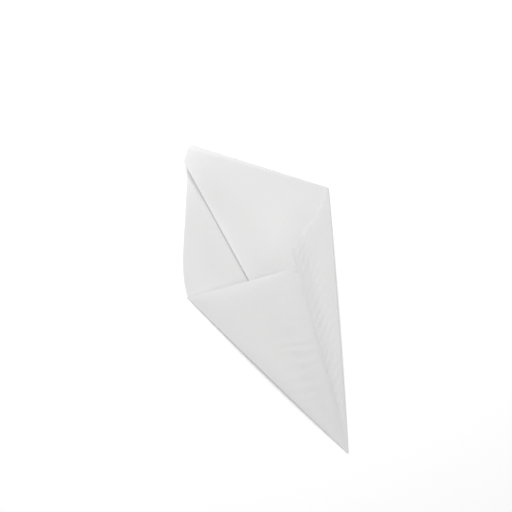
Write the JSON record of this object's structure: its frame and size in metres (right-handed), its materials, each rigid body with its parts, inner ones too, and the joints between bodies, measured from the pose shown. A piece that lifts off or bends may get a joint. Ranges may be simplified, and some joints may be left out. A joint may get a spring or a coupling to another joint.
{
  "type": "paper cone bag",
  "caption": "Plain white pointed paper bag lying flat, folded from one sheet, glued along a side strip, with its top flap tucked into the mouth.",
  "frame": {"origin": "under the middle of the bag's length and width, on the plane that the back panel rests on", "axes": "+Y from the tip towards the mouth along the middle of the tip's angle, +X to the right as the seam side faces the viewer, +Z out of the front panel"},
  "size_m": [0.1732, 0.3428, 0.014],
  "materials": {
    "white_paper": "matt"
  },
  "bodies": {
    "root": {"paper_bag": "white_paper"}
  },
  "joints": []
}
